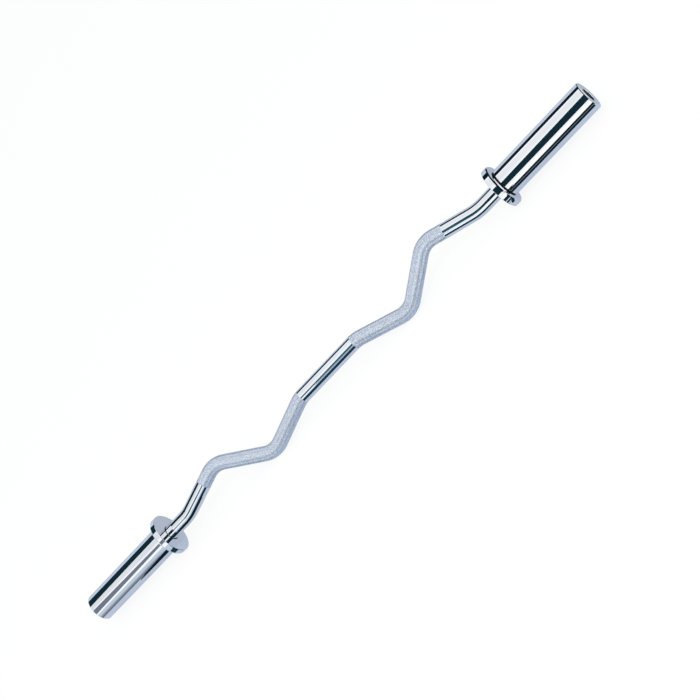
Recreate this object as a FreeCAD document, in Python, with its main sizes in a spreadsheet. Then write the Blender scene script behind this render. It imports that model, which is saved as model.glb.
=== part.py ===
import FreeCAD
import Part
import math
import os
import Sketcher

# A curl bar with a bent shaft and a sleeve for weight plates at each end, in millimetres.
# The origin is the middle of the sleeve axis, X runs along that axis and Z points up.
# The bar lies on its two collars and on the two inner bends of its shaft.

DIMENSIONS = {
    # Shaft: round bar bent in one plane, measured from its middle to one end
    "shaft_diameter": 25,
    "centre_run": 69,
    "inner_run": 96,
    "outer_run": 92,
    "slope_run": 97.5,
    "tail_run": 46.5,
    "centre_drop": 1.3,
    "inner_drop": 31.5,
    "outer_rise": 27.2,
    "centre_bend_radius": 60,
    "inner_bend_radius": 40,
    "outer_bend_radius": 41,
    "tail_bend_radius": 95,
    "shoulder_step": 3.5,
    "shoulder_edge": 0.8,
    "tap_runout": 6,
    # Sleeve and the collar pressed on its inner end
    "collar_diameter": 73,
    "collar_width": 12.5,
    "collar_web": 4,
    "collar_edge": 1.6,
    "web_gap": 1.25,
    "sleeve_diameter": 50,
    "load_length": 183.5,
    "sleeve_edge": 1.8,
    "seat_step": 2,
    "lip_width": 8,
    "lip_gap": 0.25,
    "recess_diameter": 24.5,
    "recess_edge": 0.8,
    # Bushes and washers that let the sleeve turn
    "running_clearance": 0.05,
    "bush_wall": 2.5,
    "bush_length": 30,
    "bush_edge": 0.6,
    "thrust_washer_width": 1.8,
    "axial_play": 0.25,
    "washer_gap": 0.25,
    "retaining_washer_width": 4,
    "lock_washer_diameter": 18,
    "lock_washer_width": 2.2,
    "lock_washer_split": 1.5,
    # Socket head bolt in the end of the shaft
    "thread_diameter": 10,
    "thread_gap": 0.05,
    "bolt_gap": 0.25,
    "bolt_length": 30,
    "bolt_head_diameter": 16,
    "bolt_head_height": 10,
    "bolt_edge": 0.8,
    "bolt_recess": 8,
    "socket_size": 8,
    "socket_depth": 5,
}

OVERCUT = 1.0
DRILL_POINT_ANGLE = 59
FULL_TURN = 360

document = FreeCAD.newDocument("curl_bar")
sheet = document.addObject("Spreadsheet::Sheet", "dims")
for row, (alias, size) in enumerate(DIMENSIONS.items(), start=1):
    sheet.set(f"A{row}", alias)
    sheet.set(f"B{row}", str(size))
    sheet.setAlias(f"B{row}", alias)
document.recompute()


def dim(alias):
    """Expression that reads one cell of the sheet."""
    return f"dims.{alias}"


def half(expression):
    return f"({expression}) / 2"


def number(expression):
    """Value that an expression has now, used to draw a sketch near its final shape."""
    return float(sheet.evalExpression(expression))


# Stations along the sleeve axis, from the middle of the bar outwards.
CENTRE_BEND = dim("centre_run")
INNER_BEND = f"{CENTRE_BEND} + {dim('inner_run')}"
OUTER_BEND = f"{INNER_BEND} + {dim('outer_run')}"
TAIL_BEND = f"{OUTER_BEND} + {dim('slope_run')}"
COLLAR_FACE = f"{TAIL_BEND} + {dim('tail_run')}"
SLEEVE_START = f"{COLLAR_FACE} + {dim('collar_web')}"
COLLAR_BACK = f"{COLLAR_FACE} + {dim('collar_width')}"
SLEEVE_END = f"{COLLAR_BACK} + {dim('load_length')}"
HEAD_TOP = f"{SLEEVE_END} - {dim('bolt_recess')}"
HEAD_SEAT = f"{HEAD_TOP} - {dim('bolt_head_height')}"
BOLT_TIP = f"{HEAD_SEAT} - {dim('bolt_length')}"
LOCK_SEAT = f"{HEAD_SEAT} - {dim('lock_washer_width')}"
SHAFT_END = f"{LOCK_SEAT} - {dim('retaining_washer_width')}"
OUTER_THRUST_FACE = f"{SHAFT_END} - {dim('axial_play')}"
LIP_OUTER = f"{OUTER_THRUST_FACE} - {dim('thrust_washer_width')}"
LIP_INNER = f"{LIP_OUTER} - {dim('lip_width')}"
INNER_THRUST_FACE = f"{LIP_INNER} - {dim('thrust_washer_width')}"
SHAFT_SHOULDER = f"{INNER_THRUST_FACE} - {dim('axial_play')}"

# Radii shared by pieces that fit each other.
SHAFT_RADIUS = half(dim("shaft_diameter"))
JOURNAL_RADIUS = f"{SHAFT_RADIUS} - {dim('shoulder_step')}"
BUSH_BORE = f"{SHAFT_RADIUS} + {dim('running_clearance')}"
SLEEVE_BORE = f"{BUSH_BORE} + {dim('bush_wall')}"
SLEEVE_RADIUS = half(dim("sleeve_diameter"))
SEAT_RADIUS = f"{SLEEVE_RADIUS} - {dim('seat_step')}"
COLLAR_RADIUS = half(dim("collar_diameter"))
WEB_BORE = f"{SHAFT_RADIUS} + {dim('web_gap')}"
LIP_BORE = f"{JOURNAL_RADIUS} + {dim('lip_gap')}"
RECESS_RADIUS = half(dim("recess_diameter"))
RECESS_WASHER_RADIUS = f"{RECESS_RADIUS} - {dim('washer_gap')}"
THREAD_RADIUS = half(dim("thread_diameter"))
TAPPED_RADIUS = f"{THREAD_RADIUS} + {dim('thread_gap')}"
BOLT_HOLE_RADIUS = f"{THREAD_RADIUS} + {dim('bolt_gap')}"
HEAD_RADIUS = half(dim("bolt_head_diameter"))
AXIS = "0"


def origin_plane(body, role):
    return next(item for item in body.Origin.OriginFeatures if item.Role == role)


def new_sketch(body, name, role="XY_Plane"):
    sketch = body.newObject("Sketcher::SketchObject", name)
    sketch.AttachmentSupport = [(origin_plane(body, role), "")]
    sketch.MapMode = "FlatFace"
    return sketch


def place(sketch, kind, geometry, point, expression):
    """Tie one coordinate of a sketch point to an expression, measured from the origin."""
    value = number(expression)
    first, second = ((-1, 1), (geometry, point)) if value >= 0 else ((geometry, point), (-1, 1))
    signed = expression if value >= 0 else f"-({expression})"
    index = sketch.addConstraint(Sketcher.Constraint(kind, *first, *second, abs(value)))
    sketch.setExpression(f"Constraints[{index}]", signed)


def tie_radius(sketch, geometry, expression):
    index = sketch.addConstraint(Sketcher.Constraint("Radius", geometry, number(expression)))
    sketch.setExpression(f"Constraints[{index}]", expression)


def draw_outline(sketch, corners):
    """Closed outline through corners, each given as (station along X, radius) expressions."""
    points = [FreeCAD.Vector(number(along), number(across)) for along, across in corners]
    count = len(corners)
    first = sketch.GeometryCount
    for index, point in enumerate(points):
        sketch.addGeometry(Part.LineSegment(point, points[(index + 1) % count]), False)
    for index in range(count):
        following = (index + 1) % count
        sketch.addConstraint(Sketcher.Constraint("Coincident", first + index, 2, first + following, 1))
    for index, (along, across) in enumerate(corners):
        before = corners[index - 1]
        line_before = first + (index - 1) % count
        if index and across == before[1]:
            sketch.addConstraint(Sketcher.Constraint("Horizontal", line_before))
        elif across == AXIS:
            sketch.addConstraint(Sketcher.Constraint("PointOnObject", first + index, 1, -1))
        else:
            place(sketch, "DistanceY", first + index, 1, across)
        if index and along == before[0]:
            sketch.addConstraint(Sketcher.Constraint("Vertical", line_before))
        else:
            place(sketch, "DistanceX", first + index, 1, along)


def turn(body, name, corners):
    """Solid of revolution about the sleeve axis."""
    sketch = new_sketch(body, f"{name}_outline")
    draw_outline(sketch, corners)
    revolution = body.newObject("PartDesign::Revolution", name)
    revolution.Profile = sketch
    revolution.ReferenceAxis = (sketch, ["H_Axis"])
    revolution.Angle = FULL_TURN
    document.recompute()
    return revolution


def require_less(feature, volume_before):
    """Stop if a cut took nothing away."""
    if not feature.Shape.Volume < volume_before:
        raise RuntimeError(f"{feature.Label} cuts nothing")


def circles_at(shape, radius, station):
    """Names of the circular edges with this radius at this station along X."""
    near = 1e-4
    names = []
    for index, edge in enumerate(shape.Edges, start=1):
        if not isinstance(edge.Curve, Part.Circle):
            continue
        if abs(edge.Curve.Radius - radius) < near and abs(edge.Curve.Center.x - station) < near:
            names.append(f"Edge{index}")
    return names


def soften(body, kind, name, base, rims, size):
    """Fillet or chamfer the round rims of a turned piece, each given as (radius, station)."""
    feature = body.newObject(f"PartDesign::{kind}", name)
    edges = []
    for radius, station in rims:
        edges += circles_at(base.Shape, number(radius), number(station))
    if len(edges) != len(rims):
        raise RuntimeError(f"{name} finds {len(edges)} rims, not {len(rims)}")
    feature.Base = (base, edges)
    feature.setExpression("Radius" if kind == "Fillet" else "Size", size)
    document.recompute()
    return feature


def new_body(label, side=None):
    """Body of one piece; a left piece is the right one turned half round about Z."""
    body = document.addObject("PartDesign::Body", label)
    body.Label = label
    if side == "left":
        half_turn = FreeCAD.Rotation(FreeCAD.Vector(0, 0, 1), FULL_TURN / 2)
        body.Placement = FreeCAD.Placement(FreeCAD.Vector(), half_turn)
    return body


# Bend points of one half of the shaft in its own plane: station, height, bend radius.
BEND_POINTS = [
    (CENTRE_BEND, f"-{dim('centre_drop')}", dim("centre_bend_radius")),
    (INNER_BEND, f"-{dim('inner_drop')}", dim("inner_bend_radius")),
    (OUTER_BEND, dim("outer_rise"), dim("outer_bend_radius")),
    (TAIL_BEND, AXIS, dim("tail_bend_radius")),
]


def bend_arc(before, corner, after, radius):
    """Arc tangent to both runs at a corner, as (start, end, centre, turn to the left)."""
    back = (before - corner).normalize()
    ahead = (after - corner).normalize()
    half_angle = back.getAngle(ahead) / 2
    reach = radius / math.tan(half_angle)
    start = corner + back * reach
    end = corner + ahead * reach
    bisector = (back + ahead).normalize()
    centre = corner + bisector * (radius / math.sin(half_angle))
    return start, end, centre, back.cross(ahead).z < 0


def draw_path(sketch):
    """Centre line of one half of the shaft: straight runs joined by tangent bends."""
    corners = [FreeCAD.Vector(number(along), number(height)) for along, height, radius in BEND_POINTS]
    start = FreeCAD.Vector(0, corners[0].y)
    end = FreeCAD.Vector(number(SHAFT_END), 0)
    stations = [start, *corners, end]
    run_start = start
    for index, (along, height, radius) in enumerate(BEND_POINTS, start=1):
        arc_start, arc_end, centre, left = bend_arc(
            stations[index - 1], stations[index], stations[index + 1], number(radius))
        sketch.addGeometry(Part.LineSegment(run_start, arc_start), False)
        first, last = (arc_start, arc_end) if left else (arc_end, arc_start)
        circle = Part.Circle(centre, FreeCAD.Vector(0, 0, 1), number(radius))
        arc = Part.ArcOfCircle(circle, circle.parameter(first), circle.parameter(last))
        sketch.addGeometry(arc, False)
        run_start = arc_end
    sketch.addGeometry(Part.LineSegment(run_start, end), False)

    last_run = sketch.GeometryCount - 1
    for bend, (along, height, radius) in enumerate(BEND_POINTS):
        run = 2 * bend
        arc = run + 1
        left = sketch.Geometry[arc].StartPoint.isEqual(sketch.Geometry[run].EndPoint, 1e-6)
        near_end, far_end = (1, 2) if left else (2, 1)
        sketch.addConstraint(Sketcher.Constraint("Tangent", run, 2, arc, near_end))
        sketch.addConstraint(Sketcher.Constraint("Tangent", arc, far_end, arc + 1, 1))
        tie_radius(sketch, arc, radius)
    for bend, (along, height, radius) in enumerate(BEND_POINTS):
        run = 2 * bend
        corner = sketch.addGeometry(Part.Point(corners[bend]), True)
        sketch.addConstraint(Sketcher.Constraint("PointOnObject", corner, 1, run))
        sketch.addConstraint(Sketcher.Constraint("PointOnObject", corner, 1, run + 2))
        place(sketch, "DistanceX", corner, 1, along)
        if height == AXIS:
            sketch.addConstraint(Sketcher.Constraint("PointOnObject", corner, 1, -1))
        else:
            place(sketch, "DistanceY", corner, 1, height)
    sketch.addConstraint(Sketcher.Constraint("PointOnObject", 0, 1, -2))
    sketch.addConstraint(Sketcher.Constraint("Horizontal", 0))
    sketch.addConstraint(Sketcher.Constraint("PointOnObject", last_run, 2, -1))
    place(sketch, "DistanceX", last_run, 2, SHAFT_END)


def rest_angle():
    """Tilt of the bent plane when the inner bends touch the floor that the collars stand on."""
    fall = f"atan(({dim('inner_drop')} - {dim('centre_drop')}) / {dim('inner_run')})"
    climb = f"atan(({dim('inner_drop')} + {dim('outer_rise')}) / {dim('outer_run')})"
    cut_corner = f"(cos(({climb} - {fall}) / 2) / cos(({climb} + {fall}) / 2) - 1)"
    reach = f"({dim('inner_drop')} - {dim('inner_bend_radius')} * {cut_corner})"
    return f"asin(min(1; ({COLLAR_RADIUS} - {SHAFT_RADIUS}) / {reach}))"


def build_shaft():
    """Bent round bar, turned down to a journal and tapped at each end."""
    body = new_body("shaft")
    profile = new_sketch(body, "shaft_section", "YZ_Plane")
    profile.addGeometry(Part.Circle(
        FreeCAD.Vector(-number(dim("centre_drop")), 0), FreeCAD.Vector(0, 0, 1), number(SHAFT_RADIUS)), False)
    tie_radius(profile, 0, SHAFT_RADIUS)
    place(profile, "DistanceX", 0, 3, f"-{dim('centre_drop')}")
    profile.addConstraint(Sketcher.Constraint("PointOnObject", 0, 3, -1))
    path = new_sketch(body, "shaft_path")
    draw_path(path)
    document.recompute()

    pipe = body.newObject("PartDesign::AdditivePipe", "bent_bar")
    pipe.Profile = profile
    pipe.Spine = path
    document.recompute()

    past_end = f"{SHAFT_END} + {OVERCUT}"
    past_rim = f"{SHAFT_RADIUS} + {OVERCUT}"
    edge = dim("shoulder_edge")
    hole_bottom = f"{BOLT_TIP} - {dim('tap_runout')}"
    drill_point = f"({TAPPED_RADIUS}) / tan({DRILL_POINT_ANGLE})"
    ends = new_sketch(body, "shaft_end_cuts")
    draw_outline(ends, [
        (f"{SHAFT_SHOULDER} - {edge}", SHAFT_RADIUS),
        (SHAFT_SHOULDER, f"{SHAFT_RADIUS} - {edge}"),
        (SHAFT_SHOULDER, JOURNAL_RADIUS),
        (past_end, JOURNAL_RADIUS),
        (past_end, past_rim),
        (f"{SHAFT_SHOULDER} - {edge}", past_rim),
    ])
    draw_outline(ends, [
        (hole_bottom, AXIS),
        (f"{hole_bottom} + {drill_point}", TAPPED_RADIUS),
        (past_end, TAPPED_RADIUS),
        (past_end, AXIS),
    ])
    groove = body.newObject("PartDesign::Groove", "journal_and_tapped_hole")
    groove.Profile = ends
    groove.ReferenceAxis = (ends, ["H_Axis"])
    groove.Angle = FULL_TURN
    document.recompute()
    require_less(groove, pipe.Shape.Volume)

    mirror = body.newObject("PartDesign::Mirrored", "both_halves")
    mirror.Originals = [pipe, groove]
    mirror.MirrorPlane = (origin_plane(body, "YZ_Plane"), [""])
    body.Tip = mirror
    tilt = rest_angle()
    degrees = sheet.evalExpression(tilt).getValueAs("deg").Value
    body.Placement = FreeCAD.Placement(
        FreeCAD.Vector(), FreeCAD.Rotation(FreeCAD.Vector(1, 0, 0), degrees))
    body.setExpression("Placement.Rotation.Angle", tilt)
    document.recompute()
    return body


def build_sleeve(side):
    """Thick tube that carries the plates, with a lip inside that is trapped on the shaft."""
    body = new_body(f"{side}_sleeve", side)
    tube = turn(body, f"{side}_sleeve_tube", [
        (SLEEVE_START, SLEEVE_BORE),
        (SLEEVE_START, SEAT_RADIUS),
        (COLLAR_BACK, SEAT_RADIUS),
        (COLLAR_BACK, SLEEVE_RADIUS),
        (SLEEVE_END, SLEEVE_RADIUS),
        (SLEEVE_END, RECESS_RADIUS),
        (LIP_OUTER, RECESS_RADIUS),
        (LIP_OUTER, LIP_BORE),
        (LIP_INNER, LIP_BORE),
        (LIP_INNER, SLEEVE_BORE),
    ])
    rim = soften(body, "Chamfer", f"{side}_sleeve_rim", tube,
                 [(SLEEVE_RADIUS, SLEEVE_END)], dim("sleeve_edge"))
    soften(body, "Chamfer", f"{side}_recess_rim", rim,
           [(RECESS_RADIUS, SLEEVE_END)], dim("recess_edge"))
    return body


def build_collar(side):
    """Ring that stops the plates, bored blind so that its web closes the end of the sleeve."""
    body = new_body(f"{side}_collar", side)
    ring = turn(body, f"{side}_collar_ring", [
        (COLLAR_FACE, WEB_BORE),
        (COLLAR_FACE, COLLAR_RADIUS),
        (COLLAR_BACK, COLLAR_RADIUS),
        (COLLAR_BACK, SEAT_RADIUS),
        (SLEEVE_START, SEAT_RADIUS),
        (SLEEVE_START, WEB_BORE),
    ])
    soften(body, "Fillet", f"{side}_collar_rims", ring,
           [(COLLAR_RADIUS, COLLAR_FACE), (COLLAR_RADIUS, COLLAR_BACK)], dim("collar_edge"))
    return body


def build_bush(side, name, start):
    """Plain bronze bush, a press fit in the sleeve and a running fit on the shaft."""
    body = new_body(f"{side}_{name}", side)
    end = f"{start} + {dim('bush_length')}"
    tube = turn(body, f"{side}_{name}_tube", [
        (start, BUSH_BORE),
        (start, SLEEVE_BORE),
        (end, SLEEVE_BORE),
        (end, BUSH_BORE),
    ])
    soften(body, "Chamfer", f"{side}_{name}_rims", tube,
           [(SLEEVE_BORE, start), (SLEEVE_BORE, end)], dim("bush_edge"))
    return body


def build_ring(side, name, start, end, bore, rim):
    """Flat washer between two stations."""
    body = new_body(f"{side}_{name}", side)
    turn(body, f"{side}_{name}_ring", [(start, bore), (start, rim), (end, rim), (end, bore)])
    return body


def build_lock_washer(side):
    """Flattened spring washer, split across its ring."""
    rim = half(dim("lock_washer_diameter"))
    body = build_ring(side, "lock_washer", LOCK_SEAT, HEAD_SEAT, BOLT_HOLE_RADIUS, rim)
    ring = body.Tip
    sketch = new_sketch(body, f"{side}_lock_washer_slot", "YZ_Plane")
    far = f"{rim} + {OVERCUT}"
    side_edge = half(dim("lock_washer_split"))
    sides = [(f"-{side_edge}", AXIS), (f"-{side_edge}", far), (side_edge, far), (side_edge, AXIS)]
    draw_outline(sketch, sides)
    slot = body.newObject("PartDesign::Pocket", f"{side}_lock_washer_split")
    slot.Profile = sketch
    slot.Type = "ThroughAll"
    slot.Reversed = True
    document.recompute()
    require_less(slot, ring.Shape.Volume)
    return body


def build_bolt(side):
    """Socket head bolt that clamps the retaining washer on the end of the shaft."""
    body = new_body(f"{side}_end_bolt", side)
    edge = dim("bolt_edge")
    blank = turn(body, f"{side}_bolt_blank", [
        (BOLT_TIP, AXIS),
        (BOLT_TIP, f"{THREAD_RADIUS} - {edge}"),
        (f"{BOLT_TIP} + {edge}", THREAD_RADIUS),
        (HEAD_SEAT, THREAD_RADIUS),
        (HEAD_SEAT, HEAD_RADIUS),
        (f"{HEAD_TOP} - {edge}", HEAD_RADIUS),
        (HEAD_TOP, f"{HEAD_RADIUS} - {edge}"),
        (HEAD_TOP, AXIS),
    ])
    corner_radius = f"{half(dim('socket_size'))} / cos(30)"
    corner_count = 6
    sketch = new_sketch(body, f"{side}_socket_outline", "YZ_Plane")
    sketch.setExpression("AttachmentOffset.Base.z", HEAD_TOP)
    radius = number(corner_radius)
    corners = []
    for index in range(corner_count):
        angle = math.radians(FULL_TURN / corner_count * index)
        corners.append(FreeCAD.Vector(radius * math.cos(angle), radius * math.sin(angle)))
    for index, corner in enumerate(corners):
        sketch.addGeometry(Part.LineSegment(corner, corners[(index + 1) % corner_count]), False)
    circle = sketch.addGeometry(Part.Circle(FreeCAD.Vector(), FreeCAD.Vector(0, 0, 1), radius), True)
    sketch.addConstraint(Sketcher.Constraint("Coincident", circle, 3, -1, 1))
    tie_radius(sketch, circle, corner_radius)
    for index in range(corner_count):
        sketch.addConstraint(Sketcher.Constraint("Coincident", index, 2, (index + 1) % corner_count, 1))
        sketch.addConstraint(Sketcher.Constraint("PointOnObject", index, 1, circle))
        if index:
            sketch.addConstraint(Sketcher.Constraint("Equal", 0, index))
    sketch.addConstraint(Sketcher.Constraint("PointOnObject", 0, 1, -1))
    socket = body.newObject("PartDesign::Pocket", f"{side}_hex_socket")
    socket.Profile = sketch
    socket.setExpression("Length", dim("socket_depth"))
    document.recompute()
    require_less(socket, blank.Shape.Volume)
    return body


def build_side(side):
    """Everything that turns on one end of the shaft, and what keeps it there."""
    outer_bush_start = f"{INNER_THRUST_FACE} - {dim('bush_length')}"
    inner_washer_rim = f"{SLEEVE_BORE} - {dim('washer_gap')}"
    return [
        build_sleeve(side),
        build_collar(side),
        build_bush(side, "inner_bush", SLEEVE_START),
        build_bush(side, "outer_bush", outer_bush_start),
        build_ring(side, "inner_thrust_washer", INNER_THRUST_FACE, LIP_INNER, LIP_BORE, inner_washer_rim),
        build_ring(side, "outer_thrust_washer", LIP_OUTER, OUTER_THRUST_FACE, LIP_BORE, RECESS_WASHER_RADIUS),
        build_ring(side, "retaining_washer", SHAFT_END, LOCK_SEAT, BOLT_HOLE_RADIUS, RECESS_WASHER_RADIUS),
        build_lock_washer(side),
        build_bolt(side),
    ]


pieces = [build_shaft(), *build_side("left"), *build_side("right")]
document.recompute()

for item in document.Objects:
    if "Invalid" in item.State or "Error" in item.State:
        raise RuntimeError(f"{item.Label} failed: {item.State}")
for piece in pieces:
    if piece.Shape.isNull() or not piece.Shape.isValid() or len(piece.Shape.Solids) != 1:
        raise RuntimeError(f"{piece.Label} is not one valid solid")

os.makedirs("parts", exist_ok=True)
for piece in pieces:
    piece.Shape.exportStep(f"parts/{piece.Label}.step")
    box = piece.Shape.BoundBox
    print(f"{piece.Label}: {piece.Shape.Volume:.1f} mm3,"
          f" X {box.XMin:.2f} to {box.XMax:.2f}, Z {box.ZMin:.2f} to {box.ZMax:.2f}")
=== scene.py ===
"""A curl bar: one bent chromed shaft with two knurled grips, and a turning sleeve at each end."""
import math

import bmesh
import bpy
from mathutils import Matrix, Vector


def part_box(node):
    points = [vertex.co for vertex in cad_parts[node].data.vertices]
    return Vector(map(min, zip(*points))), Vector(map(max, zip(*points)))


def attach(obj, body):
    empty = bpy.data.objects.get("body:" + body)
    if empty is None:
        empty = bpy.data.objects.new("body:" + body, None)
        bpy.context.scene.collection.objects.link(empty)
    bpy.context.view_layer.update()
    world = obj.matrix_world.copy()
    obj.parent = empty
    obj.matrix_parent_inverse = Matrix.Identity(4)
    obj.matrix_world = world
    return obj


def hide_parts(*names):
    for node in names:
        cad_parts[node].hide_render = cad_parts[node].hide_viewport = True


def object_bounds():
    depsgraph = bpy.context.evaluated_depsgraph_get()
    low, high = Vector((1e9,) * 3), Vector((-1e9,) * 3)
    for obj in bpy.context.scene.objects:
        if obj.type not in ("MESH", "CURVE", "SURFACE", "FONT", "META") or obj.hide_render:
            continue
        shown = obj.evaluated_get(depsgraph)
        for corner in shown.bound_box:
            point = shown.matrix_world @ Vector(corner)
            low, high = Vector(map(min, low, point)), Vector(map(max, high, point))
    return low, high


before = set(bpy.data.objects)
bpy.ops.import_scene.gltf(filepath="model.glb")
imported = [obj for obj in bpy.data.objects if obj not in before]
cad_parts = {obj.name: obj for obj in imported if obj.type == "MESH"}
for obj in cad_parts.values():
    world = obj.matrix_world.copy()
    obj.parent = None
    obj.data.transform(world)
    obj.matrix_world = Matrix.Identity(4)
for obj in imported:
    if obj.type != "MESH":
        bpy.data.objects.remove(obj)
cad_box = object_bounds()


# The bent shaft, polished middle and ends.
# One round steel bar, bent cold in eight places and chrome plated. The polished ends run on
# inside the sleeves, where each is turned down to a journal and tapped for the end bolt.
MM = 0.001
SHAFT_RADIUS = 12.5 * MM
# Each bend of one half: how far out, how high in the plane of the bends, and its radius.
BENDS = (
    (69 * MM, -1.3 * MM, 60 * MM),
    (165 * MM, -31.5 * MM, 40 * MM),
    (257 * MM, 27.2 * MM, 41 * MM),
    (354.5 * MM, 0, 95 * MM),
)
SHAFT_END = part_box("shaft")[1].x
GRIP_START = 63 * MM
GRIP_END = 313.2 * MM
BAR_SIDES = 96
BEND_STEP = math.radians(1.5)
SHOULDER_TO_END = 12.1 * MM
SHOULDER_EDGE = 0.8 * MM
JOURNAL_STEP = 3.5 * MM
TAPPED_RADIUS = 5.05 * MM
TAPPED_DEPTH = 26.8 * MM
DRILL_POINT = 3 * MM
COLLAR_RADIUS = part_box("right_collar")[1].z
SMOOTH_BELOW = math.radians(25)
MERGE_WITHIN = 0.001 * MM


def centre_line():
    """One half of the bar's centre line from the middle out: the length and turn of each leg."""
    stops = [(0, BENDS[0][1]), *[bend[:2] for bend in BENDS], (SHAFT_END, 0)]
    runs = [Vector(end) - Vector(start) for start, end in zip(stops, stops[1:])]
    legs, trimmed = [], 0
    for run, following, (_, _, radius) in zip(runs, runs[1:], BENDS):
        turn = math.atan2(following.y, following.x) - math.atan2(run.y, run.x)
        cut = radius * math.tan(abs(turn) / 2)
        legs += [(run.length - trimmed - cut, 0), (radius * abs(turn), turn)]
        trimmed = cut
    return legs + [(runs[-1].length - trimmed, 0)]


LEGS = centre_line()
BAR_LENGTH = sum(length for length, _ in LEGS)


def along_bar(distance):
    """Place and heading on the centre line, that far along the bar from its middle."""
    place, heading = Vector((0, BENDS[0][1], 0)), 0.0
    for length, turn in LEGS:
        walked = min(distance, length)
        bent = turn * walked / length
        if turn:
            radius = length / turn
            place.x += radius * (math.sin(heading + bent) - math.sin(heading))
            place.y += radius * (math.cos(heading) - math.cos(heading + bent))
        else:
            place += walked * Vector((math.cos(heading), math.sin(heading), 0))
        heading += bent
        distance -= walked
        if distance <= 0:
            break
    return place, heading


LOWEST_BEND = min(along_bar(step * MM)[0].y for step in range(int(BAR_LENGTH / MM)))
REST_TILT = math.asin((COLLAR_RADIUS - SHAFT_RADIUS) / -LOWEST_BEND)


def name_new(name):
    """Names the primitive that was just added, and puts its place into its mesh."""
    piece = bpy.context.object
    piece.name = piece.data.name = name
    bpy.ops.object.transform_apply(location=True, rotation=True, scale=True)
    return piece


def choose(piece):
    """Selects one piece, and only that one."""
    bpy.ops.object.select_all(action="DESELECT")
    piece.select_set(True)
    bpy.context.view_layer.objects.active = piece


def edit(piece):
    """Opens one piece, and only that one, for editing."""
    choose(piece)
    bpy.ops.object.mode_set(mode="EDIT")


def pick(piece, kind, wanted):
    """Selects the faces or edges of the open piece that fit the description."""
    bpy.ops.mesh.select_mode(type=kind)
    bpy.ops.mesh.select_all(action="DESELECT")
    shape = bmesh.from_edit_mesh(piece.data)
    for item in shape.faces if kind == "FACE" else shape.edges:
        if wanted(item):
            item.select_set(True)
    bmesh.update_edit_mesh(piece.data)


def close(piece, smooth=True):
    """Merges what meets, turns the faces outwards, and leaves edit mode."""
    bpy.ops.mesh.select_all(action="SELECT")
    bpy.ops.mesh.remove_doubles(threshold=MERGE_WITHIN)
    bpy.ops.mesh.normals_make_consistent(inside=False)
    bpy.ops.object.mode_set(mode="OBJECT")
    if smooth:
        bpy.ops.object.shade_smooth_by_angle(angle=SMOOTH_BELOW)
    return piece


def push(distance, direction=(1, 0, 0)):
    """Draws the selected face out along a direction."""
    bpy.ops.mesh.extrude_region_move(
        TRANSFORM_OT_translate={"value": Vector(direction) * distance})


def draw_bar(name, start, end):
    """A length of round bar along the centre line, left open for editing at its far face."""
    bpy.ops.object.select_all(action="DESELECT")
    place, heading = along_bar(start)
    bpy.ops.mesh.primitive_circle_add(
        vertices=BAR_SIDES, radius=SHAFT_RADIUS, fill_type="NGON",
        location=place, rotation=(0, math.pi / 2, heading))
    piece = name_new(name)
    edit(piece)
    bpy.ops.mesh.select_mode(type="FACE")
    bpy.ops.mesh.select_all(action="SELECT")
    leg_end = 0
    for length, turn in LEGS:
        leg_start, leg_end = leg_end, leg_end + length
        low, high = max(start, leg_start), min(end, leg_end)
        if high <= low:
            continue
        place, heading = along_bar(low)
        if turn:
            angle = turn * (high - low) / length
            side = Vector((-math.sin(heading), math.cos(heading), 0))
            bpy.ops.mesh.spin(
                steps=max(2, round(abs(angle) / BEND_STEP)), angle=-angle,
                center=place + side * length / turn, axis=(0, 0, 1))
        else:
            push(high - low, (math.cos(heading), math.sin(heading), 0))
    return piece


def lean(piece):
    """Leans a piece of the shaft over, as the bar rests on its collars and its inner bends."""
    choose(piece)
    piece.rotation_euler.x = REST_TILT
    bpy.ops.object.transform_apply(rotation=True)


def mirrored(piece, name):
    """The same piece for the other half of the bar, with a mesh of its own."""
    choose(piece)
    bpy.ops.object.duplicate()
    twin = bpy.context.object
    twin.scale.x = -1
    name_new(name)
    edit(twin)
    bpy.ops.mesh.select_all(action="SELECT")
    bpy.ops.mesh.normals_make_consistent(inside=False)
    bpy.ops.object.mode_set(mode="OBJECT")
    return twin


shaft_middle = draw_bar("shaft_middle", 0, GRIP_START)
pick(shaft_middle, "FACE", lambda face: max(abs(v.co.x) for v in face.verts) < MERGE_WITHIN)
bpy.ops.mesh.delete(type="FACE")
bpy.ops.object.mode_set(mode="OBJECT")
halves = shaft_middle.modifiers.new("both_halves", "MIRROR")
halves.merge_threshold = MERGE_WITHIN
bpy.ops.object.modifier_apply(modifier=halves.name)
edit(shaft_middle)
close(shaft_middle)

right_end = draw_bar("right_shaft_end", GRIP_END, BAR_LENGTH - SHOULDER_TO_END - SHOULDER_EDGE)
bpy.ops.mesh.inset(thickness=SHOULDER_EDGE, depth=SHOULDER_EDGE)
bpy.ops.mesh.inset(thickness=JOURNAL_STEP - SHOULDER_EDGE)
push(SHOULDER_TO_END)
bpy.ops.mesh.inset(thickness=SHAFT_RADIUS - JOURNAL_STEP - TAPPED_RADIUS)
push(-TAPPED_DEPTH)
push(-DRILL_POINT)
bpy.ops.mesh.merge(type="CENTER")
close(right_end)
left_end = mirrored(right_end, "left_shaft_end")


def surface(finish):
    """The one shader that makes a material's surface."""
    return finish.node_tree.nodes["Principled BSDF"]


def new_finish(name, color, metallic, roughness):
    """A material with one surface shader, plain until patterns are joined to it."""
    finish = bpy.data.materials.new(name)
    finish.use_nodes = True
    shader = surface(finish)
    shader.inputs["Base Color"].default_value = (*color, 1)
    shader.inputs["Metallic"].default_value = metallic
    shader.inputs["Roughness"].default_value = roughness
    return finish


def add(finish, kind, values=(), **settings):
    """Adds a node, with its settings and the values of its sockets."""
    node = finish.node_tree.nodes.new(kind)
    for setting, value in settings.items():
        setattr(node, setting, value)
    for socket, value in dict(values).items():
        node.inputs[socket].default_value = value
    return node


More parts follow.
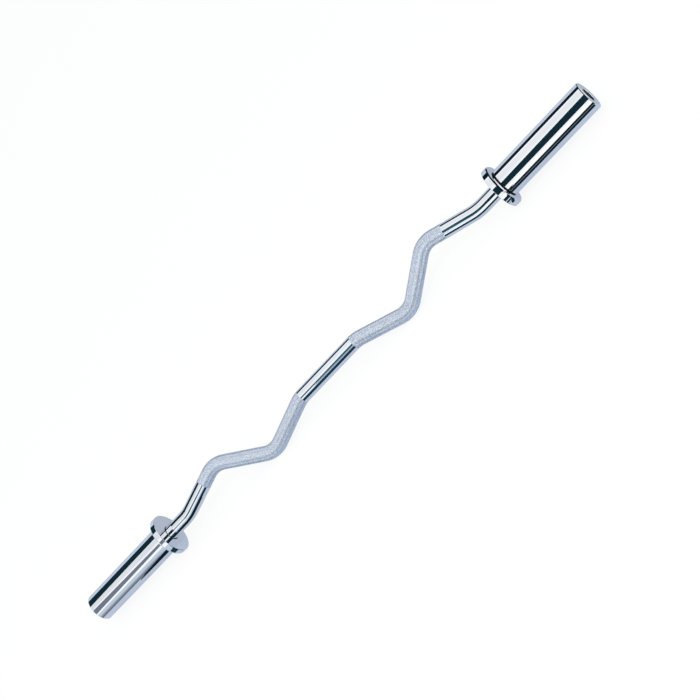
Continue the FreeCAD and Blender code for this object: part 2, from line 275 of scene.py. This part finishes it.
def join(finish, source, target):
    """Links one node's output to another's input."""
    finish.node_tree.links.new(source, target)


def pattern(finish, stretch, scale, detail, roughness=0.5):
    """A noise over the piece, drawn out along the bar or round it by the stretch."""
    place = add(finish, "ShaderNodeTexCoord")
    shape = add(finish, "ShaderNodeMapping", {"Scale": stretch})
    noise = add(finish, "ShaderNodeTexNoise", {"Scale": scale, "Detail": detail, "Roughness": roughness})
    join(finish, place.outputs["Object"], shape.inputs["Vector"])
    join(finish, shape.outputs["Vector"], noise.inputs["Vector"])
    return noise.outputs["Fac"]


# A noise spends nearly all of its time in this middle part of its range.
NOISE_LOW, NOISE_HIGH = 0.3, 0.7


def vary_roughness(finish, source, low, high):
    """Lets the gloss wander between two levels over the surface."""
    spread = add(finish, "ShaderNodeMapRange", {
        "From Min": NOISE_LOW, "From Max": NOISE_HIGH, "To Min": low, "To Max": high})
    join(finish, source, spread.inputs["Value"])
    join(finish, spread.outputs["Result"], surface(finish).inputs["Roughness"])


def vary_color(finish, source, dark, light):
    """Lets the colour wander between two tones over the surface."""
    ramp = add(finish, "ShaderNodeValToRGB")
    first, last = ramp.color_ramp.elements
    first.position, first.color = NOISE_LOW, (*dark, 1)
    last.position, last.color = NOISE_HIGH, (*light, 1)
    join(finish, source, ramp.inputs["Fac"])
    join(finish, ramp.outputs["Color"], surface(finish).inputs["Base Color"])


def raise_grain(finish, source, height, strength):
    """Fine relief that only bends the light."""
    bump = add(finish, "ShaderNodeBump", {"Strength": strength, "Distance": height})
    join(finish, source, bump.inputs["Height"])
    join(finish, bump.outputs["Normal"], surface(finish).inputs["Normal"])


EVEN = (1, 1, 1)
MARK_HEIGHT = 0.003 * MM
MARK_STRENGTH = 0.15


def polish(name, dark, light, marks_across):
    """Chrome plate: faint haze in the gloss, and polishing marks too fine to see one by one."""
    finish = new_finish(name, light, metallic=1, roughness=0.04)
    vary_color(finish, pattern(finish, EVEN, scale=18, detail=2), dark, light)
    vary_roughness(finish, pattern(finish, EVEN, scale=45, detail=4), low=0.02, high=0.05)
    marks = pattern(finish, marks_across, scale=1, detail=3, roughness=0.65)
    raise_grain(finish, marks, MARK_HEIGHT, MARK_STRENGTH)
    return finish


shaft_chrome = polish(
    "shaft_chrome", dark=(0.86, 0.89, 0.92), light=(0.92, 0.94, 0.96), marks_across=(120, 900, 900))
for piece in (shaft_middle, right_end, left_end):
    lean(piece)
    piece.data.materials.append(shaft_chrome)
    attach(piece, "shaft")
    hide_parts("shaft")


# The knurled grips.
# Each grip is the same bar, rolled between two crossed knurling wheels before it was plated,
# so it stands up in rows of small diamond points from the middle bend to past the outer bend.
KNURL_COLUMNS = 56
KNURL_PITCH = 2.0 * MM
KNURL_HEIGHT = 0.2 * MM
KNURL_ROOT = SHAFT_RADIUS - KNURL_HEIGHT
END_FACING = 0.5


def roll_knurl(name):
    """A straight length of bar covered in diamond points, then bent along the centre line."""
    length = GRIP_END - GRIP_START
    bpy.ops.object.select_all(action="DESELECT")
    bpy.ops.mesh.primitive_cylinder_add(
        vertices=KNURL_COLUMNS, radius=KNURL_ROOT, depth=length, rotation=(0, math.pi / 2, 0))
    piece = name_new(name)
    end_x = length / 2 - MERGE_WITHIN
    edit(piece)
    pick(piece, "EDGE", lambda edge: abs(edge.verts[0].co.x - edge.verts[1].co.x) > end_x)
    bpy.ops.mesh.subdivide(number_cuts=round(length / KNURL_PITCH) - 1)
    pick(piece, "FACE", lambda face: abs(face.normal.x) < END_FACING)
    bpy.ops.mesh.poke()

    def on_old_grid(edge):
        first, last = edge.verts[0].co, edge.verts[1].co
        if min(abs(first.x), abs(last.x)) > end_x:
            return False
        round_bar = abs(first.x - last.x) < MERGE_WITHIN
        return round_bar or (first.yz - last.yz).length < MERGE_WITHIN

    pick(piece, "EDGE", on_old_grid)
    bpy.ops.mesh.dissolve_edges(use_verts=False)
    pick(piece, "FACE", lambda face: abs(face.normal.x) < END_FACING and len(face.verts) == 4)
    bpy.ops.mesh.poke(offset=KNURL_HEIGHT)
    close(piece, smooth=False)
    for point in piece.data.vertices:
        place, heading = along_bar(GRIP_START + length / 2 + point.co.x)
        side = Vector((-math.sin(heading), math.cos(heading), 0))
        point.co = place + side * point.co.y + Vector((0, 0, point.co.z))
    return piece


right_grip = roll_knurl("right_grip")
left_grip = mirrored(right_grip, "left_grip")
grip_chrome = new_finish("grip_chrome", (0.7, 0.77, 0.88), metallic=0.75, roughness=0.34)
# The dark edge tint darkens the grips towards their outlines: painted shade, standing in for the knurl's
# points shading one another.
surface(grip_chrome).inputs["Specular Tint"].default_value = (0.12, 0.17, 0.24, 1)
vary_color(
    grip_chrome, pattern(grip_chrome, EVEN, scale=620, detail=3),
    dark=(0.45, 0.55, 0.74), light=(0.97, 1, 1))
vary_roughness(grip_chrome, pattern(grip_chrome, EVEN, scale=300, detail=3), low=0.28, high=0.4)
for piece in (right_grip, left_grip):
    lean(piece)
    piece.data.materials.append(grip_chrome)
    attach(piece, "shaft")
    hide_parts("shaft")


# The sleeves.
# Each is a thick steel tube, turned and polished, that carries the plates and spins on the shaft. Its
# inner end sits in the collar, beside a relief groove painted near black as shade, and the lip inside it
# is held on the journal.
SLEEVE_START, SLEEVE_END = (corner.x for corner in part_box("right_sleeve"))
SLEEVE_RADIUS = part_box("right_sleeve")[1].z
COLLAR_FACE, COLLAR_BACK = (corner.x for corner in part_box("right_collar"))
SEAT_STEP = 2 * MM
SEAT_RADIUS = SLEEVE_RADIUS - SEAT_STEP
SLEEVE_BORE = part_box("right_inner_bush")[1].z
LIP_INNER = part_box("right_inner_thrust_washer")[1].x
LIP_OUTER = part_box("right_outer_thrust_washer")[0].x
LIP_PLAY = 0.25 * MM
LIP_BORE = SHAFT_RADIUS - JOURNAL_STEP + LIP_PLAY
RECESS_RADIUS = 12.25 * MM
RECESS_EDGE = 0.8 * MM
RIM_CUT = 0.4 * MM
RIM_CUT_DEPTH = 1.3 * MM
RIM_BREAK = 1.0 * MM
RELIEF_WIDTH = 2.4 * MM
SHADE_RING_START = COLLAR_BACK + 0.01 * MM
SHADE_RING_END = COLLAR_BACK + RELIEF_WIDTH + 0.03 * MM
LATHE_STEPS = 160
FLAT = 1


def turn_on_lathe(name, wall):
    """A ring spun round the bar's axis from the outline of its wall: station and radius."""
    bpy.ops.object.select_all(action="DESELECT")
    bpy.ops.mesh.primitive_circle_add(vertices=len(wall), fill_type="NOTHING")
    piece = name_new(name)
    for corner, (station, radius) in zip(piece.data.vertices, wall):
        corner.co = (station, 0, radius)
    edit(piece)
    bpy.ops.mesh.select_all(action="SELECT")
    bpy.ops.mesh.spin(steps=LATHE_STEPS, angle=math.tau, center=(0, 0, 0), axis=(1, 0, 0))
    return close(piece)


def break_rim(piece, station, radius, width, segments):
    """Cuts back the rim at one station and radius: flat, or round in several segments."""
    def on_rim(edge):
        return all(abs(v.co.x - station) < MERGE_WITHIN and abs(v.co.yz.length - radius) < MERGE_WITHIN
                   for v in edge.verts)

    edit(piece)
    pick(piece, "EDGE", on_rim)
    bpy.ops.mesh.bevel(offset=width, segments=segments, affect="EDGES")
    close(piece)


def other_end(piece, name):
    """The same piece turned end for end, for the left of the bar."""
    choose(piece)
    bpy.ops.object.duplicate()
    twin = bpy.context.object
    twin.rotation_euler.z = math.pi
    return name_new(name)


def paint_shade_ring(finish, start, end, color, roughness):
    """Paints a ring of the surface a dark colour and dulls its gloss there: painted shade in the groove by
    the collar.
    """
    shader = surface(finish)
    place = add(finish, "ShaderNodeTexCoord")
    split = add(finish, "ShaderNodeSeparateXYZ")
    out = add(finish, "ShaderNodeMath", operation="ABSOLUTE")
    ring = add(finish, "ShaderNodeMath", {1: (start + end) / 2, 2: (end - start) / 2}, operation="COMPARE")
    join(finish, place.outputs["Object"], split.inputs["Vector"])
    join(finish, split.outputs["X"], out.inputs[0])
    join(finish, out.outputs["Value"], ring.inputs[0])
    for socket, kind, value in (("Base Color", "RGBA", (*color, 1)), ("Roughness", "FLOAT", roughness)):
        blend = add(finish, "ShaderNodeMix", data_type=kind)
        first, last = [slot for slot in blend.inputs if slot.name in "AB" and slot.enabled]
        join(finish, shader.inputs[socket].links[0].from_socket, first)
        last.default_value = value
        join(finish, ring.outputs["Value"], blend.inputs["Factor"])
        join(finish, [slot for slot in blend.outputs if slot.enabled][0], shader.inputs[socket])


right_sleeve = turn_on_lathe("right_sleeve_tube", [
    (SLEEVE_START, SLEEVE_BORE), (SLEEVE_START, SEAT_RADIUS), (COLLAR_BACK + RELIEF_WIDTH, SEAT_RADIUS),
    (COLLAR_BACK + RELIEF_WIDTH, SLEEVE_RADIUS), (SLEEVE_END - RIM_CUT, SLEEVE_RADIUS),
    (SLEEVE_END, SLEEVE_RADIUS - RIM_CUT_DEPTH), (SLEEVE_END, RECESS_RADIUS),
    (LIP_OUTER, RECESS_RADIUS), (LIP_OUTER, LIP_BORE), (LIP_INNER, LIP_BORE), (LIP_INNER, SLEEVE_BORE),
])
break_rim(right_sleeve, SLEEVE_END - RIM_CUT, SLEEVE_RADIUS, RIM_BREAK, FLAT)
break_rim(right_sleeve, SLEEVE_END, RECESS_RADIUS, RECESS_EDGE, FLAT)
sleeve_chrome = polish(
    "sleeve_chrome", dark=(0.88, 0.91, 0.94), light=(0.94, 0.95, 0.97), marks_across=(1400, 60, 60))
# The relief groove is painted near black all round: painted shade where the sleeve meets the collar.
paint_shade_ring(sleeve_chrome, SHADE_RING_START, SHADE_RING_END, color=(0.02, 0.022, 0.025), roughness=0.5)
for piece, side in ((right_sleeve, "right"), (other_end(right_sleeve, "left_sleeve_tube"), "left")):
    piece.data.materials.append(sleeve_chrome)
    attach(piece, f"{side}_sleeve")
    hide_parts(f"{side}_sleeve")


# The collars.
# Each is a turned steel ring, chromed with its sleeve, that stops the plates from sliding in.
# It is pressed over the sleeve's inner end, and its web leaves a narrow gap round the shaft.
WEB_GAP = 1.25 * MM
WEB_BORE = SHAFT_RADIUS + WEB_GAP
WEB_EDGE = 0.4 * MM
WEB_SEGMENTS = 3
COLLAR_CUT = 1.5 * MM
COLLAR_CUT_DEPTH = 4 * MM
COLLAR_BREAK = 1.6 * MM
COLLAR_EDGE = 0.7 * MM
COLLAR_SEGMENTS = 4

right_collar = turn_on_lathe("right_stop_collar", [
    (COLLAR_FACE, WEB_BORE), (COLLAR_FACE, COLLAR_RADIUS), (COLLAR_BACK - COLLAR_CUT, COLLAR_RADIUS),
    (COLLAR_BACK, COLLAR_RADIUS - COLLAR_CUT_DEPTH), (COLLAR_BACK, SEAT_RADIUS),
    (SLEEVE_START, SEAT_RADIUS), (SLEEVE_START, WEB_BORE),
])
break_rim(right_collar, COLLAR_BACK - COLLAR_CUT, COLLAR_RADIUS, COLLAR_BREAK, FLAT)
break_rim(right_collar, COLLAR_FACE, COLLAR_RADIUS, COLLAR_EDGE, COLLAR_SEGMENTS)
break_rim(right_collar, COLLAR_FACE, WEB_BORE, WEB_EDGE, WEB_SEGMENTS)
for piece, side in ((right_collar, "right"), (other_end(right_collar, "left_stop_collar"), "left")):
    piece.data.materials.append(sleeve_chrome)
    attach(piece, f"{side}_sleeve")
    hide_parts(f"{side}_collar")


# The bushes and thrust washers.
# Bearing bronze, turned bright: two bushes pressed into each sleeve, and a washer on each
# side of the sleeve's lip. They are hidden, apart from a thin line round the shaft.
bronze = new_finish("bearing_bronze", (0.38, 0.26, 0.13), metallic=1, roughness=0.3)
stain = pattern(bronze, EVEN, scale=70, detail=3)
vary_color(bronze, stain, dark=(0.2, 0.14, 0.08), light=(0.42, 0.29, 0.15))
vary_roughness(bronze, pattern(bronze, (2200, 40, 40), scale=1, detail=2), low=0.2, high=0.4)

# The retaining and lock washers.
# Pressed from zinc plated steel: the thick one covers the end of the journal and keeps the
# sleeve on, and the split one under the bolt's head stops it from working loose.
zinc = new_finish("zinc_plate", (0.58, 0.6, 0.62), metallic=1, roughness=0.35)
cloud = pattern(zinc, EVEN, scale=130, detail=4)
vary_color(zinc, cloud, dark=(0.46, 0.48, 0.5), light=(0.64, 0.65, 0.66))
vary_roughness(zinc, pattern(zinc, EVEN, scale=260, detail=3), low=0.28, high=0.45)

# The end bolts.
# Black oxide steel with a hex socket, screwed into the tapped end of the shaft.
black_oxide = new_finish("black_oxide", (0.03, 0.03, 0.033), metallic=1, roughness=0.42)
wear = pattern(black_oxide, EVEN, scale=180, detail=4)
vary_color(black_oxide, wear, dark=(0.02, 0.02, 0.023), light=(0.06, 0.06, 0.065))
vary_roughness(black_oxide, pattern(black_oxide, EVEN, scale=300, detail=3), low=0.32, high=0.5)

for side in ("left", "right"):
    for finish, names in (
        (bronze, ("inner_bush", "outer_bush", "inner_thrust_washer", "outer_thrust_washer")),
        (zinc, ("retaining_washer", "lock_washer")),
        (black_oxide, ("end_bolt",)),
    ):
        for name in names:
            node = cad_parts[f"{side}_{name}"]
            node.data.materials.clear()
            node.data.materials.append(finish)


# The studio.
# A plain pale floor under soft light from all round. Chrome shows nothing but its surroundings,
# so a few cards that only reflections see stand where the picture's studio had its flags.
FLOOR = cad_box[0].z
FLOOR_SIZE = 60
FLOOR_GLOW = 0.86
HAZE_GLOW = 0.6
CAMERA_PLACE = (1.1108, -2.4810, 1.3732)
CAMERA_AIM = (0.0428, 0.0115, -0.0124)
CAMERA_ROLL = math.radians(-57.36)
CAMERA_SENSOR = 36
CAMERA_LENS = 99.37
CAMERA_FAR = 100

scene = bpy.context.scene
scene.view_settings.view_transform = "Standard"

bpy.ops.object.camera_add(location=CAMERA_PLACE)
camera = bpy.context.object
camera.data.sensor_width = CAMERA_SENSOR
camera.data.lens = CAMERA_LENS
camera.data.clip_end = CAMERA_FAR
aim = (Vector(CAMERA_AIM) - Vector(CAMERA_PLACE)).to_track_quat("-Z", "Y").to_matrix().to_4x4()
camera.rotation_euler = aim.to_euler()
camera.rotation_euler.rotate_axis("Z", CAMERA_ROLL)
scene.camera = camera

bpy.ops.object.select_all(action="DESELECT")
bpy.ops.mesh.primitive_plane_add(size=FLOOR_SIZE, location=(0, 0, FLOOR))
floor = name_new("floor")
paint = bpy.data.materials.new("floor_paint")
paint.use_nodes = True
paint.node_tree.nodes.clear()
seen = add(paint, "ShaderNodeLightPath")
white = add(paint, "ShaderNodeBsdfDiffuse", {"Color": (0.9, 0.9, 0.9, 1)})
glow = add(paint, "ShaderNodeEmission", {"Color": (1, 1, 1, 1), "Strength": 1})
plain = add(paint, "ShaderNodeMixShader", {"Fac": FLOOR_GLOW})
cool = add(paint, "ShaderNodeBsdfDiffuse", {"Color": (0.5, 0.56, 0.66, 1)})
haze = add(paint, "ShaderNodeEmission", {"Color": (0.54, 0.61, 0.73, 1)})
pale = add(paint, "ShaderNodeMixShader", {"Fac": HAZE_GLOW})
choice = add(paint, "ShaderNodeMixShader")
output = add(paint, "ShaderNodeOutputMaterial")
join(paint, white.outputs["BSDF"], plain.inputs[1])
join(paint, glow.outputs["Emission"], plain.inputs[2])
join(paint, seen.outputs["Is Camera Ray"], choice.inputs["Fac"])
join(paint, cool.outputs["BSDF"], pale.inputs[1])
join(paint, haze.outputs["Emission"], pale.inputs[2])
join(paint, pale.outputs["Shader"], choice.inputs[1])
join(paint, plain.outputs["Shader"], choice.inputs[2])
join(paint, choice.outputs["Shader"], output.inputs["Surface"])
floor.data.materials.append(paint)


def round_the_bar(station, distance, angle):
    """A point round the bar: degrees up from the horizon in front, over the top to behind."""
    turn = math.radians(angle)
    return station, -distance * math.cos(turn), distance * math.sin(turn)


def hang_card(name, corners, color):
    """A flat card that only reflections see."""
    bpy.ops.object.select_all(action="DESELECT")
    bpy.ops.mesh.primitive_plane_add()
    card = name_new(name)
    for corner, place in zip(card.data.vertices, corners):
        corner.co = place
    finish = bpy.data.materials.new(name)
    finish.use_nodes = True
    finish.node_tree.nodes.clear()
    glow = add(finish, "ShaderNodeEmission", {"Color": (*color, 1)})
    output = add(finish, "ShaderNodeOutputMaterial")
    join(finish, glow.outputs["Emission"], output.inputs["Surface"])
    card.data.materials.append(finish)
    card.visible_camera = card.visible_diffuse = card.visible_shadow = False
    card.visible_transmission = card.visible_volume_scatter = False


def hang_flag(name, distance, near, far, color):
    """A tapered card along the bar, between two ends: station, lower and upper angle."""
    (x0, low0, high0), (x1, low1, high1) = near, far
    hang_card(name, (
        round_the_bar(x1, distance, low1), round_the_bar(x0, distance, low0),
        round_the_bar(x1, distance, high1), round_the_bar(x0, distance, high0)), color)


LIFT, LIFT_LOW, LIFT_LOWEST = 0.6 * MM, 0.5 * MM, 0.3 * MM


def lay_flag(name, left, right, color, lift=LIFT):
    """A card laid on the floor in front of the bar, between two ends: station, near and far edge."""
    (x0, near0, far0), (x1, near1, far1) = left, right
    height = FLOOR + lift
    hang_card(name, (
        (x0, -far0, height), (x1, -far1, height), (x0, -near0, height), (x1, -near1, height)), color)


# An arch of cards beyond the right end, for the dark lines on the rims there. Each of its corners is in
# degrees from the bar's line towards the back, and up from the horizon.
ARCH = ((81, 0), (66, 21), (45, 36), (16, 41.5), (-9, 35), (-25, 20), (-33, 0))
ARCH_START, ARCH_AWAY, ARCH_MIDDLE = 0.5, 2.4, 23
ARCH_INNER, ARCH_OUTER = 0.88, 1.19


def on_arch(turn, rise, spread):
    """A point of the arch, moved in or out from its middle by the spread."""
    turn = math.radians(ARCH_MIDDLE + (turn - ARCH_MIDDLE) * spread)
    rise = math.radians(rise * spread)
    level = ARCH_AWAY * math.cos(rise)
    return ARCH_START + level * math.cos(turn), level * math.sin(turn), ARCH_AWAY * math.sin(rise)


NAVY, TEAL, DEEP = (0.005, 0.012, 0.018), (0.006, 0.024, 0.036), (0.008, 0.04, 0.06)
INK, PETROL, DUSK = (0.025, 0.04, 0.055), (0.02, 0.11, 0.17), (0.14, 0.17, 0.21)
GREY, SLATE, COOL = (0.17, 0.2, 0.25), (0.36, 0.4, 0.48), (0.45, 0.505, 0.595)
CLOUD, PALE, WHITE, BRIGHT = (0.78, 0.8, 0.83), (0.8, 0.86, 0.93), (1, 1, 1), (1.1, 1.1, 1.1)
FRONT_AWAY, BACK_AWAY = 2.5, 2.0
hang_flag("camera_flag", FRONT_AWAY, (0.4, 8, 60.5), (-0.27, 10, 46.5), TEAL)
hang_flag("camera_flag_left", FRONT_AWAY, (-0.27, 13, 45), (-0.98, 14, 39), PETROL)
hang_flag("camera_flag_tip", FRONT_AWAY, (-0.98, 17, 38), (-1.6, 17, 33), PETROL)
hang_flag("camera_flag_end", FRONT_AWAY, (-1.6, 24, 35), (-2.3, 4, 54), GREY)
hang_flag("camera_flag_right", FRONT_AWAY, (1.6, 22, 54), (0.4, 14, 58), TEAL)
hang_flag("front_flag", FRONT_AWAY, (-0.78, 0, 17), (-1.02, 0, 17), SLATE)
hang_flag("sky_flag_left", FRONT_AWAY, (-1.6, 52, 85), (-2.6, 58, 85), CLOUD)
hang_flag("back_flag", BACK_AWAY, (1.6, 113, 140), (-0.2, 113, 143), NAVY)
hang_flag("back_flag_left", BACK_AWAY, (-0.2, 113, 143), (-1.2, 114, 153), DEEP)
hang_flag("back_flag_end", BACK_AWAY, (-1.3, 96, 140), (-1.8, 85, 138), TEAL)
hang_flag("back_flag_tip", BACK_AWAY, (-1.8, 89, 140), (-2.3, 93, 146), TEAL)
for part, (start, end) in enumerate(zip(ARCH, ARCH[1:]), 1):
    hang_card(f"end_flag_{part}", (
        on_arch(*start, ARCH_INNER), on_arch(*end, ARCH_INNER),
        on_arch(*start, ARCH_OUTER), on_arch(*end, ARCH_OUTER)), NAVY)
lay_flag("end_reflector", (0.64, -0.3, 0.02), (1.0, -0.4, 0.02), WHITE)
lay_flag("floor_flag_near", (0.4, 0.0365, 0.0555), (0.66, 0.0365, 0.0555), NAVY)
lay_flag("floor_line", (0.4, 0.0555, 0.063), (0.66, 0.0555, 0.063), DUSK)
lay_flag("floor_flag_far", (0.4, 0.063, 0.1), (0.66, 0.063, 0.102), NAVY)
lay_flag("floor_flag_right", (0.2, 0.036, 0.14), (0.383, 0.035, 0.087), DEEP)
lay_flag("floor_flag_stop", (0.372, 0.0555, 0.132), (0.402, 0.0555, 0.132), TEAL, LIFT_LOW)
lay_flag("floor_line_stop", (0.376, 0.07, 0.077), (0.402, 0.07, 0.077), PALE)
lay_flag("floor_line_stop_near", (0.383, 0.046, 0.049), (0.405, 0.046, 0.049), GREY)
lay_flag("floor_flag_middle", (-0.32, 0.043, 0.098), (0.2, 0.042, 0.14), DEEP)
lay_flag("floor_flag_left", (-0.41, 0.08, 0.12), (0.02, 0.098, 0.6), DEEP)
lay_flag("floor_flag_bend", (-0.4, 0.025, 0.088), (-0.32, 0.033, 0.098), NAVY)
lay_flag("floor_flag_bend_out", (-0.41, 0.0285, 0.088), (-0.4, 0.025, 0.088), NAVY)
lay_flag("floor_flag_collar", (-0.437, 0.044, 0.13), (-0.41, 0.042, 0.12), DEEP)
lay_flag("floor_flag_wedge", (-0.47, 0.034, 0.058), (-0.437, 0.033, 0.068), NAVY)
lay_flag("floor_flag_tip", (-0.513, 0.037, 0.044), (-0.47, 0.034, 0.058), NAVY)
lay_flag("floor_flag_root", (-0.505, 0.048, 0.056), (-0.437, 0.06, 0.086), INK, LIFT_LOW)
for name, near, far, color in (
    ("floor_shade_near", 0.046, 0.053, (0.22, 0.25, 0.3)),
    ("floor_shade", 0.053, 0.064, (0.13, 0.15, 0.19)),
    ("floor_shade_far", 0.064, 0.078, (0.23, 0.26, 0.31)),
    ("floor_shade_out", 0.078, 0.11, (0.34, 0.38, 0.44)),
):
    lay_flag(name, (-0.8, near, far), (-0.47, near, far), color, LIFT_LOWEST)
lay_flag("floor_behind", (-0.9, -0.6, -0.02), (0.9, -0.6, -0.02), COOL, LIFT_LOWEST)
lay_flag("floor_flag_behind", (-0.28, -0.11, -0.05), (0.36, -0.11, -0.05), NAVY)
for name, left, right in (("left", -0.58, -0.41), ("right", 0.47, 0.58)):
    lay_flag(f"floor_flag_behind_{name}", (left, -0.11, -0.0615), (right, -0.11, -0.0615), NAVY)
    lay_flag(f"floor_line_behind_{name}", (left, -0.0585, -0.045), (right, -0.0585, -0.045), NAVY)
lay_flag("front_reflector", (0.05, 0.1, 1.8), (0.6, 0.1, 1.8), BRIGHT, LIFT_LOWEST)

LAMP_PLACE, LAMP_TURN = (0.8, -2.9, 2.9), (0.785, 0.18, 0)
LAMP_SIZE, LAMP_POWER = 3, 80

bpy.ops.object.light_add(type="AREA", location=LAMP_PLACE, rotation=LAMP_TURN)
lamp = bpy.context.object
lamp.data.shape = "DISK"
lamp.data.size = LAMP_SIZE
lamp.data.energy = LAMP_POWER
lamp.visible_glossy = False

world = bpy.data.worlds.new("studio")
scene.world = world
world.use_nodes = True
world.node_tree.nodes.clear()
seen = add(world, "ShaderNodeLightPath")
place = add(world, "ShaderNodeTexCoord")
split = add(world, "ShaderNodeSeparateXYZ")
front = add(world, "ShaderNodeMath", {1: -1}, operation="MULTIPLY")
angle = add(world, "ShaderNodeMath", operation="ARCTAN2")
share = add(world, "ShaderNodeMath", {1: math.pi}, operation="DIVIDE")
tones = add(world, "ShaderNodeValToRGB")
light = add(world, "ShaderNodeBackground")
white = add(world, "ShaderNodeBackground", {"Color": (1, 1, 1, 1)})
choice = add(world, "ShaderNodeMixShader")
output = add(world, "ShaderNodeOutputWorld")
# Tones of the room from the horizon in front, over the top, to the horizon behind.
stops = (
    (0, (1.04, 1.04, 1.04)), (0.31, (1, 1, 1)), (0.38, (0.87, 0.88, 0.91)),
    (0.55, (0.87, 0.88, 0.91)), (0.62, (1.06, 1.06, 1.06)), (0.78, (0.6, 0.67, 0.82)),
    (0.92, (0.57, 0.64, 0.78)), (1, (0.47, 0.52, 0.6)),
)
while len(tones.color_ramp.elements) < len(stops):
    tones.color_ramp.elements.new(0.5)
for stop, (position, color) in zip(tones.color_ramp.elements, stops):
    stop.position, stop.color = position, (*color, 1)
join(world, place.outputs["Generated"], split.inputs["Vector"])
join(world, split.outputs["Y"], front.inputs[0])
join(world, split.outputs["Z"], angle.inputs[0])
join(world, front.outputs["Value"], angle.inputs[1])
join(world, angle.outputs["Value"], share.inputs[0])
join(world, share.outputs["Value"], tones.inputs["Fac"])
join(world, tones.outputs["Color"], light.inputs["Color"])
join(world, seen.outputs["Is Camera Ray"], choice.inputs["Fac"])
join(world, light.outputs["Background"], choice.inputs[1])
join(world, white.outputs["Background"], choice.inputs[2])
join(world, choice.outputs["Shader"], output.inputs["Surface"])
